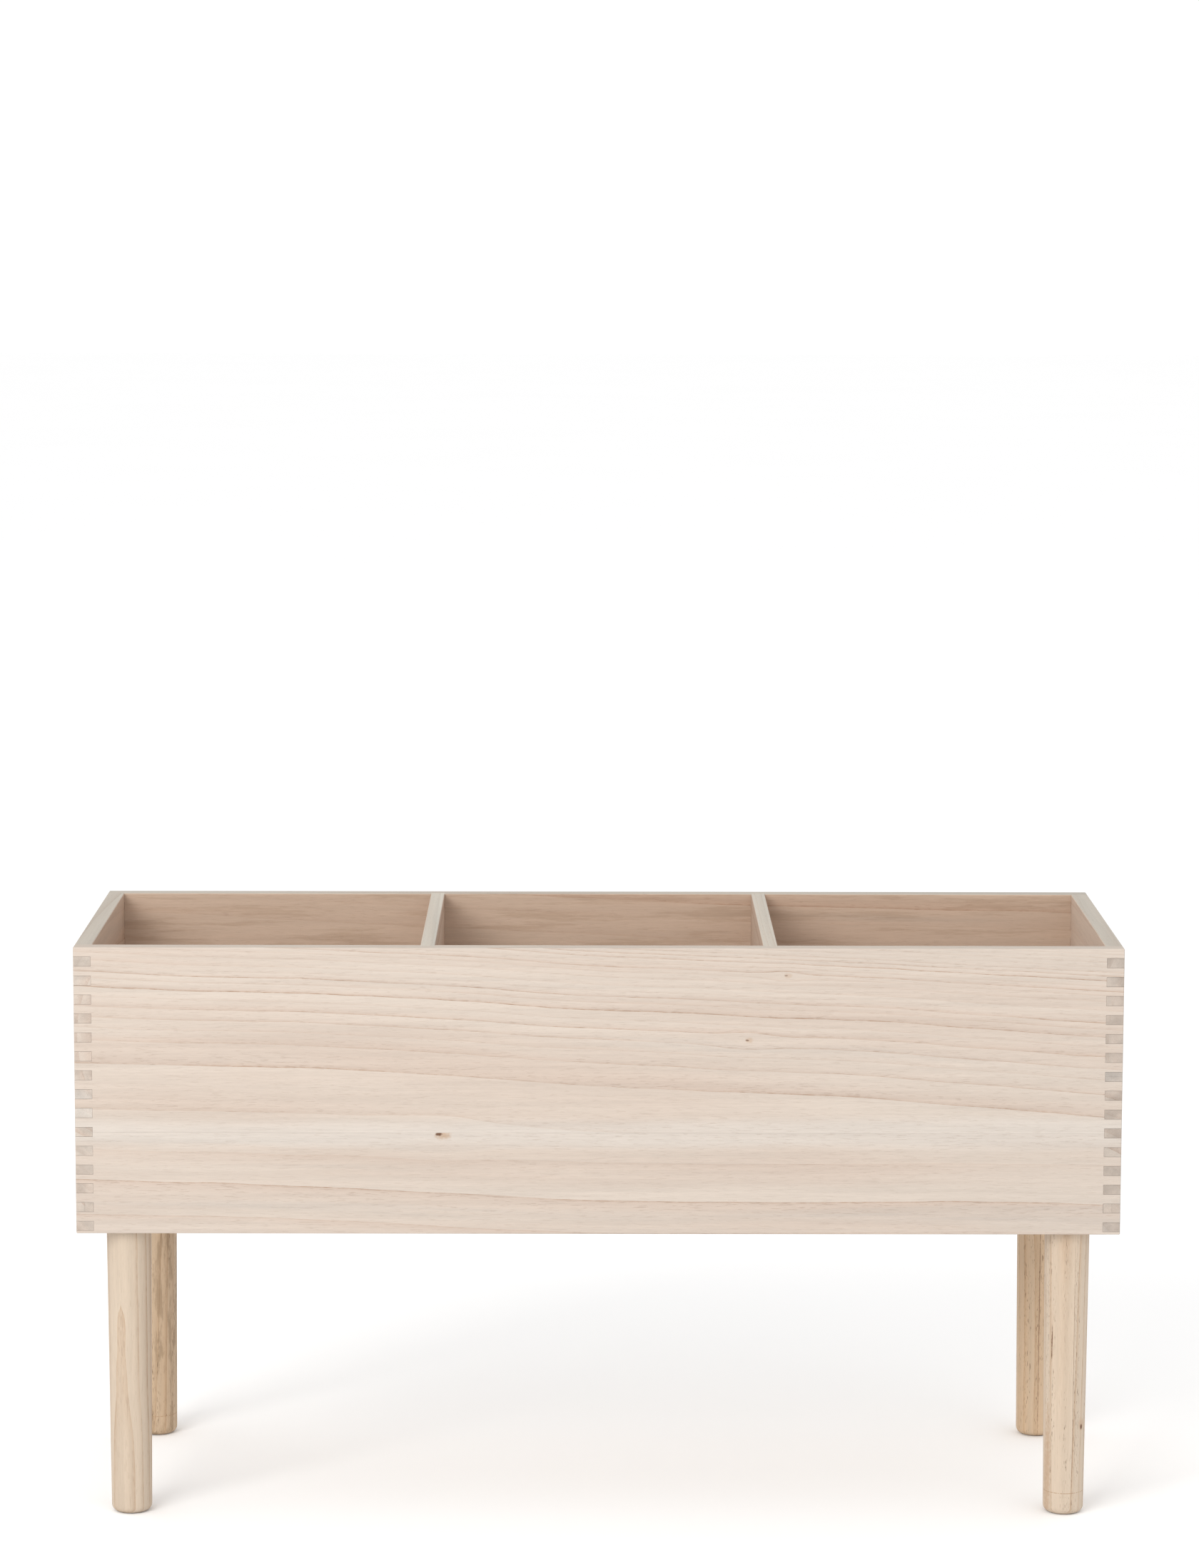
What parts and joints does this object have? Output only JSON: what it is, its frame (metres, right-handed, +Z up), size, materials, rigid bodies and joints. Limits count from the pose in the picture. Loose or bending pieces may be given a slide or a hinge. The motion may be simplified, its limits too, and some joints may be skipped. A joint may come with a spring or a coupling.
{
  "type": "raised planter on legs",
  "caption": "Long wooden planter box with finger-jointed corners, cross dividers and open compartments, raised on round tapered legs.",
  "frame": {"origin": "on the floor, at the middle of the footprint", "axes": "+X along the length to the right, -Y towards the front, +Z up"},
  "size_m": [0.72, 0.25, 0.403],
  "materials": {
    "paulownia_board": "bare, sanded, matt",
    "pine": "bare, turned and sanded, matt",
    "zinc_plated_steel": "bright zinc plate"
  },
  "bodies": {
    "root": {"front_panel": "paulownia_board", "rear_panel": "paulownia_board", "left_end_panel": "paulownia_board", "right_end_panel": "paulownia_board", "bottom_panel": "paulownia_board", "left_divider": "paulownia_board", "right_divider": "paulownia_board", "front_left_groove_plug": "paulownia_board", "front_right_groove_plug": "paulownia_board", "rear_left_groove_plug": "paulownia_board", "rear_right_groove_plug": "paulownia_board", "left_leg_batten": "pine", "right_leg_batten": "pine", "front_left_leg": "pine", "front_right_leg": "pine", "rear_left_leg": "pine", "rear_right_leg": "pine", "pronged_nuts": "zinc_plated_steel", "hanger_bolts": "zinc_plated_steel", "batten_screws": "zinc_plated_steel"}
  },
  "joints": []
}
